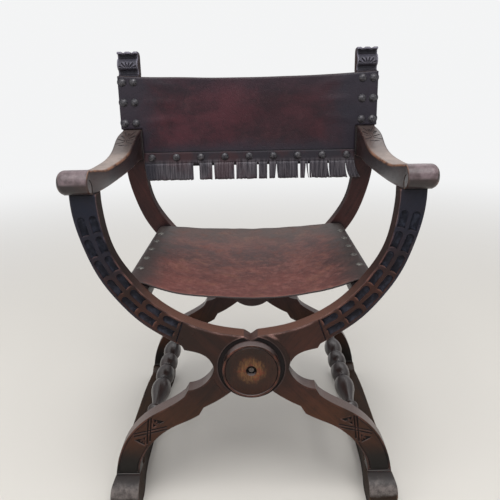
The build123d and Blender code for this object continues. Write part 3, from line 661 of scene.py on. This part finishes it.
# redder at the front, scuffed and marbled pale where sitters slide
front_glow = times(tree, ramp(tree, deep, 0.02, -0.2), ramp(tree, across, 0.20, 0.06, 0.3, 1.0))
colour = blend(tree, front_glow, colour, ink(112, 62, 56), 0.5)
colour = blend(tree, grain["Scuffs"], colour, ink(124, 80, 70), 0.45)
marbled = times(tree, blotches(tree, where, (66.0, 8.0, 0.74), 0.46, 0.62),
                ramp(tree, deep, 0.10, -0.12, 0.12, 0.36))
colour = blend(tree, marbled, colour, ink(140, 94, 86))
colour = blend(tree, blotches(tree, where, (24.0, 7.0, 0.7, 0.4), 0.53, 0.66), colour, ink(124, 86, 68), 0.34)
colour = blend(tree, blotches(tree, where, (120.0, 6.0, 0.75), 0.51, 0.61), colour, ink(50, 31, 30), 0.42)
# smoky and dusty towards the back, and black by the nails
smoke = times(tree, blotches(tree, where, (17.0, 6.0, 0.68, 0.2), 0.46, 0.68),
              ramp(tree, deep, -0.16, 0.08), 0.6)
colour = blend(tree, smoke, colour, ink(50, 34, 35))
colour = blend(tree, edge_fade(tree, deep, 0.06, 0.20, 0.07, where), colour, ink(66, 56, 50), 0.5)
rail_dark = edge_fade(tree, unsigned(tree, across), 0.168, 0.222, 0.06, where)
black = larger(tree, rail_dark, times(tree, edge_fade(tree, deep, 0.195, 0.222, 0.03, where), 0.7))
colour = blend(tree, black, colour, ink(50, 47, 46), 0.85)
rim = ramp(tree, times(tree, deep, -1.0), 0.2185, 0.2215)
colour = blend(tree, rim, colour, ink(122, 74, 64), 0.6)
colour = blend(tree, grain["Cracks"], colour, ink(44, 30, 29), 0.4)
rough = plus(tree, plus(tree, times(tree, broad, 0.2), 0.38), times(tree, grain["Scuffs"], 0.12))
shown(tree, shader, colour, rough, grain["Height"], 0.45, grain_relief)

# the raw edge of a hide, where its fibres show
cut_edge, tree, shader, where = finish_shader("hide_cut_edge")
fibres = mottle(tree, where, 900.0, 3.0, 0.6)
colour = blend(tree, ramp(tree, fibres, 0.35, 0.7), ink(34, 25, 26), ink(64, 47, 45))
shown(tree, shader, colour, ramp(tree, fibres, 0.3, 0.7, 0.6, 0.8), fibres, 0.5, 0.0004)

seat_hide = hide_object("seat_hide", points, quads, hide_thick, [seat_finish, cut_edge])
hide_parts("seat_leather")
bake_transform(seat_hide)

# ---------------------------------------------------------------- back leather
# A band of oxblood hide stretched across the fronts of the posts, turned round their outer sides and nailed.
# Its top edge dips a little in the middle; smoke, wax and dye have blackened it towards the posts and edges.
post_front, post_corner, post_round = 0.2172, 0.3206, 0.0038
post_out, post_in = post_corner + post_round, 0.272
flap_low, flap_tall, panel_low, panel_side = 0.735, 0.1285, 0.6395, 0.2702
post_nail_heights = 0.749, 0.800, 0.849
post_nails = [(s * x, z) for s in (-1, 1) for x in (0.285, 0.312) for z in post_nail_heights]
# between the posts the hide bows a little to the rear, and hangs free of them
back_bow, bowed_half, free_half = 0.005, 0.2706, 0.268
plan_steps, panel_steps, side_steps, panel_rows, flap_rows = 40, 64, 24, 18, 25


def panel_y(x):
    return post_front + back_bow * max(0.0, 1 - (x / bowed_half) ** 2)


# half of the hide seen from above, from the middle to its end on the side of the post
plan = [(x, panel_y(x)) for x in (post_corner * i / plan_steps for i in range(plan_steps + 1))]
for i in range(1, 7):
    a = math.radians(i * 15)
    plan.append((post_corner + post_round * math.sin(a), post_front + post_round * (1 - math.cos(a))))
plan += [(post_out, 0.230), (post_out, 0.240), (post_out, 0.252)]
plan_lengths = measured(plan)
side_at = [length + panel_side - p[0] for p, length in zip(plan, plan_lengths) if p[0] <= panel_side][-1]
# columns across the hide, with one exactly at each side of the lower panel
columns = [side_at * i / panel_steps for i in range(panel_steps + 1)]
columns += [side_at + (plan_lengths[-1] - side_at) * i / side_steps for i in range(1, side_steps + 1)]
columns = [-c for c in reversed(columns[1:])] + columns
rows = [panel_low + (flap_low - panel_low) * j / panel_rows for j in range(panel_rows + 1)]
rows += [flap_low + flap_tall * j / flap_rows for j in range(1, flap_rows + 1)]


def back_point(over, z):
    # over is how far along the plan, negative to the left, and z is the height on the hide drawn flat
    x, y = along(plan, plan_lengths, abs(over))
    flat_part = x < post_corner
    v = (z - flap_low) / flap_tall
    if v > 0:
        dip = 0.009 * max(0.0, 1 - (x / post_corner) ** 2)
        wave = 0.0012 * waver(over * 9, 3.0, 1.0)
        z = flap_low + v * (flap_tall - dip + wave)
    else:
        z += (-0.0015 * waver(over * 12, 8.0, 1.0)) * (-v) * 1.4
    x *= -1.0 if over < 0 else 1.0
    if flat_part:
        free = max(0.0, 1 - (abs(x) / free_half) ** 6)
        broad_waves = 0.0030 * waver(x * 6, z * 9, 1.3)
        y += free * (broad_waves + 0.0012 * waver(x * 17, z * 21, 4.3))
        # tension folds run in from the nails at the posts
        for s in (-1, 1):
            from_post = post_in - s * x
            if 0 < from_post < 0.12:
                swell = math.sin(math.pi * min(1, from_post / 0.10)) ** 0.8
                for nz in post_nail_heights:
                    drop = (z - nz) - from_post * 0.12 * (0.79 - nz) / 0.05
                    y -= 0.0016 * math.exp(-(drop / 0.009) ** 2) * swell
        pressed = max(math.exp(-(math.hypot(x - nx, z - nz) / press_reach) ** 2) for nx, nz in post_nails)
        if abs(x) > post_in:
            y -= 0.0008 * (1 - pressed) * min(1.0, (abs(x) - post_in) / 0.008)
    return Vector((x, y, z))


def back_kept(j, i):
    # below the flaps the hide is only as wide as its lower panel
    return rows[j] >= flap_low - 1e-6 or abs(columns[i] + columns[i + 1]) / 2 <= side_at


points = [back_point(c, z) for z in rows for c in columns]
quads = woven(0, len(rows), len(columns), back_kept)

back_finish, tree, shader, where = finish_shader("back_hide_grain", Specular_IOR_Level=0.35)
across, deep, high = apart(tree, where)
grain = place(tree, hide_group, {"Vector": where, "Crease": 0.35})
broad = mottle(tree, stretched(tree, where, (1.0, 1.0, 1.5)), 10.0, 6.0, 0.62, 0.3)
colour = blend(tree, ramp(tree, broad, 0.34, 0.66), ink(38, 17, 26), ink(68, 29, 38))
colour = blend(tree, grain["Scuffs"], colour, ink(96, 62, 66), 0.16)
colour = blend(tree, blotches(tree, where, (42.0, 7.0, 0.72), 0.53, 0.64), colour, ink(82, 42, 48), 0.22)
colour = blend(tree, ramp(tree, across, -0.06, 0.08, 0.0, 0.4), colour, ink(36, 15, 22))
# blackened towards the posts and the edges
side_dark = edge_fade(tree, unsigned(tree, plus(tree, across, 0.012)), 0.19, 0.272, 0.10, where)
top_dark = times(tree, edge_fade(tree, high, 0.80, 0.856, 0.05, where), 0.6)
low_dark = edge_fade(tree, times(tree, high, -1.0), -0.715, -0.672, 0.05, where)
black = larger(tree, side_dark, larger(tree, top_dark, low_dark))
colour = blend(tree, black, colour, ink(35, 34, 44), 0.85)
# painted shadow: the lowest strip of the hide, which shows through the gaps between the tassels, is near
# black
colour = blend(tree, ramp(tree, high, 0.650, 0.6475), colour, ink(10, 9, 11))
colour = blend(tree, grain["Cracks"], colour, ink(26, 18, 21), 0.4)
shown(tree, shader, colour, plus(tree, times(tree, broad, 0.2), 0.40), grain["Height"], 0.45, grain_relief)

back_hide = hide_object("back_hide", points, quads, hide_thick, [back_finish, cut_edge])
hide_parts("back_leather")
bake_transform(back_hide)

# ---------------------------------------------------------------- fringe
# A strip of the same hide nailed along the lower edge and cut into thin tassels, some torn away or splayed.
# It lies on the front of the back leather, and its tassels hang below the edge of that.
random.seed(7)
fringe_top, slit_top, fringe_low, fringe_half = 0.6755, 0.6458, 0.602, 0.270
fringe_thick, fringe_clear, tassel_step, outer_splay = 0.0015, 0.0002, 0.0038, 0.006
band_rows, band_steps, tassel_rows = 5, 96, 7


def fringe_y(x):
    # the face of the hide that the strip lies on
    return panel_y(min(abs(x), bowed_half)) - 0.0003


points, quads = [], []


def add_patch(grid):
    quads.extend(woven(len(points), len(grid), len(grid[0])))
    for row in grid:
        points.extend(row)


band = []
for j in range(band_rows + 1):
    z = slit_top - 0.001 + (fringe_top - slit_top + 0.001) * j / band_rows
    row = []
    for i in range(band_steps + 1):
        x = -fringe_half + 2 * fringe_half * i / band_steps
        ripple = 0.0006 * waver(x * 30, z * 40, 2.0)
        lift = 0.0008 * waver(x * 18, 2.0, 6.0) if j == band_rows else 0.0
        row.append(Vector((x, fringe_y(x) - fringe_thick + ripple * 0.5 - fringe_clear, z + lift)))
    band.append(row)
add_patch(band)

# where tassels have gone or been pushed apart: place across, width of the gap at the slits and at the tips
gaps = [(-0.1375, 0.0154, 0.0154), (-0.0938, 0.0050, 0.0062), (-0.0368, 0.0056, 0.0046),
        (0.0219, 0.0044, 0.0046), (0.0488, 0.0050, 0.0056), (0.0705, 0.0004, 0.0074),
        (0.1285, 0.0060, 0.0048), (0.1465, 0.0008, 0.0100), (0.1535, 0.0046, 0.0016),
        (0.2035, 0.0036, 0.0), (0.2480, 0.0, 0.0050)]
stands = [-fringe_half] + [at for at, top_gap, tip_gap in gaps] + [fringe_half]
opened = [(0.0, 0.0)] + [(top_gap, tip_gap) for at, top_gap, tip_gap in gaps] + [(0.0, 0.0)]
for k in range(len(stands) - 1):
    # one run of touching tassels between two gaps, which stand by turns a little before and behind each other
    top_left, top_right = stands[k] + opened[k][0] / 2, stands[k + 1] - opened[k + 1][0] / 2
    tip_left, tip_right = stands[k] + opened[k][1] / 2, stands[k + 1] - opened[k + 1][1] / 2
    if k == 0:
        tip_left += outer_splay
    if k == len(stands) - 2:
        tip_right += outer_splay
    count = max(1, round((top_right - top_left) / tassel_step))
    marks = [0.0]
    for i in range(count):
        marks.append(marks[-1] + random.uniform(0.75, 1.25))
    marks = [mark / marks[-1] for mark in marks]
    for i in range(count):
        low = fringe_low + random.uniform(-0.0007, 0.0009)
        sway = random.uniform(-0.0003, 0.0003) * (1 if top_left < 0.05 else 2.4)
        curl = random.uniform(-0.0003, 0.0008)
        bow = random.uniform(-0.0003, 0.0003)
        before = 0.0008 * (i % 2)
        lap = 0.0 if i in (0, count - 1) else 0.0004
        grid = []
        for j in range(tassel_rows + 1):
            t = j / tassel_rows
            edges = []
            for mark, out in ((marks[i], -lap), (marks[i + 1], lap)):
                top_x = top_left + (top_right - top_left) * mark
                tip_x = tip_left + (tip_right - tip_left) * mark
                lean = 0.07 * max(0.0, top_x - 0.12) * t * t
                bent_by = sway * t * t + bow * math.sin(math.pi * t)
                edges.append(top_x + (tip_x - top_x) * t ** 1.3 + out + lean + bent_by)
            y = fringe_y(edges[0]) - fringe_thick - fringe_clear - before * min(1.0, 4 * t) - curl * t * t
            z = slit_top + (low - slit_top) * t
            ridge = Vector((sum(edges) / 2, y - 0.0002, z))
            grid.append([Vector((edges[0], y, z)), ridge, Vector((edges[1], y, z))])
        grid.reverse()
        add_patch(grid)

fringe_finish, tree, shader, where = finish_shader("fringe_hide_grain", Specular_IOR_Level=0.3)
across, deep, high = apart(tree, where)
grain = place(tree, hide_group, {"Vector": where, "Crease": 0.2})
each = mottle(tree, stretched(tree, where, (1.0, 0.0, 0.05)), 260.0, 2.0, 0.5)
broad = mottle(tree, where, 11.0, 4.0, 0.6)
# the tassels differ from one to the next, and are darker at the left and right and paler at their tips
colour = blend(tree, ramp(tree, each, 0.35, 0.65), ink(50, 48, 54), ink(102, 97, 102))
colour = blend(tree, ramp(tree, broad, 0.48, 0.66), colour, ink(74, 50, 54), 0.5)
colour = blend(tree, ramp(tree, across, -0.20, -0.275), colour, ink(42, 41, 50))
colour = blend(tree, ramp(tree, across, -0.02, 0.08, 0.0, 0.4), colour, ink(48, 44, 52))
colour = blend(tree, ramp(tree, high, 0.607, fringe_low), colour, ink(98, 90, 92), 0.5)
# the nailed band above them is redder, and its top edge is painted near black as shade
upper = blend(tree, ramp(tree, broad, 0.40, 0.62), ink(40, 37, 44), ink(58, 38, 42))
colour = blend(tree, ramp(tree, high, 0.644, 0.658), colour, upper)
colour = blend(tree, ramp(tree, high, fringe_top - 0.0022, fringe_top - 0.0008), colour, ink(16, 14, 17))
rough = plus(tree, times(tree, each, 0.2), 0.45)
rough = plus(tree, rough, ramp(tree, high, fringe_top - 0.003, fringe_top - 0.001, 0.0, 0.4))
shown(tree, shader, colour, rough, grain["Height"], 0.4, 0.0006)

fringe_strip = hide_object("fringe_strip", points, quads, fringe_thick, [fringe_finish, fringe_finish], 0.1)
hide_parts("back_fringe")
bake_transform(fringe_strip)

# ---------------------------------------------------------------- nails of the fringe
# Nine dome-headed brass nails through the fringe and the back leather, clenched behind, each a little askew.
nail_high, nail_radius, nail_every, row_half, row_z = 0.0056, 0.0095, 0.0625, 0.250, 0.661
rim_back, rim_clear = 0.0003, 0.0007
round_steps, dome_steps = 28, 9
round_the_nail = [2 * math.pi * i / round_steps for i in range(round_steps)]
neighbours = [(i, (i + 1) % round_steps) for i in range(round_steps)]
domes = bmesh.new()
for x in [-row_half + nail_every * i for i in range(9)]:
    base = Vector((x, fringe_y(x) - fringe_thick - rim_clear, row_z))
    r = nail_radius * random.uniform(0.98, 1.02)
    tilt = Matrix.Rotation(random.uniform(-0.08, 0.08), 3, "X")
    tilt = tilt @ Matrix.Rotation(random.uniform(-0.08, 0.08), 3, "Z")
    # each ring of the dome as its radius and how far it stands out, from the back of the rim up
    slopes = [math.pi / 2 * j / dome_steps for j in range(dome_steps)]
    rings = []
    for ring_r, out in [(r, -rim_back)] + [(r * math.cos(a), nail_high * math.sin(a)) for a in slopes]:
        places = [Vector((ring_r * math.cos(t), -out, ring_r * math.sin(t))) for t in round_the_nail]
        rings.append([domes.verts.new(base + tilt @ p) for p in places])
    crown = domes.verts.new(base + tilt @ Vector((0, -nail_high, 0)))
    for low_ring, high_ring in zip(rings, rings[1:]):
        for i, k in neighbours:
            domes.faces.new((low_ring[i], low_ring[k], high_ring[k], high_ring[i]))
    for i, k in neighbours:
        domes.faces.new((rings[-1][i], rings[-1][k], crown))
    domes.faces.new(list(reversed(rings[0])))
bmesh.ops.recalc_face_normals(domes, faces=domes.faces[:])
row_of_nails = into_scene("row_of_nails", domes, [nail_metal])
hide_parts("fringe_nails")
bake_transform(row_of_nails)

# ---------------------------------------------------------------- room
# A pale floor that fades into the pale surroundings, and soft light from above, the left and the rear.
# The camera stands before the chair at the height of its top, and looks a little down.
pale = (0.90, 0.905, 0.91, 1.0)
floor_reach, fade_from, fade_to = 14, 0.9, 4.2
floor_paint, tree, shader, where = finish_shader("floor_paint", Roughness=0.75,
                                                 Base_Color=(0.66, 0.63, 0.58, 1.0))
glow = node(tree, "Emission", {"Color": pale, "Strength": 1.0}).outputs[0]
fade = {0: ramp(tree, length_of(tree, where), fade_from, fade_to), 1: shader.outputs[0], 2: glow}
feed(tree, tree.nodes["Material Output"].inputs, {"Surface": node(tree, "MixShader", fade).outputs[0]})
disc = bmesh.new()
turns = [math.pi * i / 24 for i in range(48)]
disc.faces.new([disc.verts.new((floor_reach * math.cos(t), floor_reach * math.sin(t), 0.0)) for t in turns])
floor = into_scene("floor", disc, [floor_paint])

world = bpy.data.worlds.new("room")
bpy.context.scene.world = world
world.use_nodes = True
tree = world.node_tree
rays = node(tree, "LightPath").outputs
height = apart(tree, node(tree, "TexCoord").outputs["Generated"])[2]
soft = blend(tree, ramp(tree, height, -0.1, 0.9), (0.36, 0.365, 0.38, 1.0), (0.78, 0.79, 0.81, 1.0))
gleam = blend(tree, ramp(tree, height, 0.15, 0.80), (0.20, 0.205, 0.22, 1.0), (1.0, 1.0, 1.0, 1.0))
around = blend(tree, rays["Is Glossy Ray"], soft, gleam)
seen = larger(tree, rays["Is Camera Ray"], rays["Is Transmission Ray"])
seen = larger(tree, seen, times(tree, rays["Is Glossy Ray"], 0.1))
feed(tree, tree.nodes["Background"].inputs, {"Color": blend(tree, seen, around, pale), "Strength": 1.0})


def soft_light(name, place_at, aim, size, watts):
    data = bpy.data.lights.new(name, "AREA")
    data.shape = "RECTANGLE"
    data.size, data.size_y = size
    data.energy = watts
    ob = bpy.data.objects.new(name, data)
    bpy.context.scene.collection.objects.link(ob)
    ob.location = place_at
    ob.rotation_euler = (Vector(aim) - Vector(place_at)).to_track_quat("-Z", "Y").to_euler()


soft_light("overhead", (0.1, -1.5, 3.0), (0, 0, 0.4), (2.4, 2.0), 66)
soft_light("from_left", (-2.4, -2.0, 1.9), (0, 0, 0.5), (1.8, 1.8), 12)
soft_light("from_rear", (0.6, 2.6, 2.6), (0, 0, 0.5), (2.0, 1.6), 9)

pitch, yaw, roll = math.radians(16.625), math.radians(0.5853), math.radians(1.1733)
look = Vector((-math.sin(yaw) * math.cos(pitch), math.cos(yaw) * math.cos(pitch), -math.sin(pitch)))
level = Vector((math.cos(yaw), math.sin(yaw), 0))
down = look.cross(level)
right_hand = math.cos(roll) * level + math.sin(roll) * down
drop = -math.sin(roll) * level + math.cos(roll) * down
camera_data = bpy.data.cameras.new("camera")
camera_data.lens = 41.0
camera_data.sensor_width = 36.0
camera_data.clip_start = 0.05
camera = bpy.data.objects.new("camera", camera_data)
bpy.context.scene.collection.objects.link(camera)
turned = Matrix((right_hand, -drop, -look)).transposed().to_4x4()
camera.matrix_world = Matrix.Translation((0.01224, -1.257, 0.8488)) @ turned
bpy.context.scene.camera = camera
bpy.context.scene.view_settings.view_transform = "Standard"
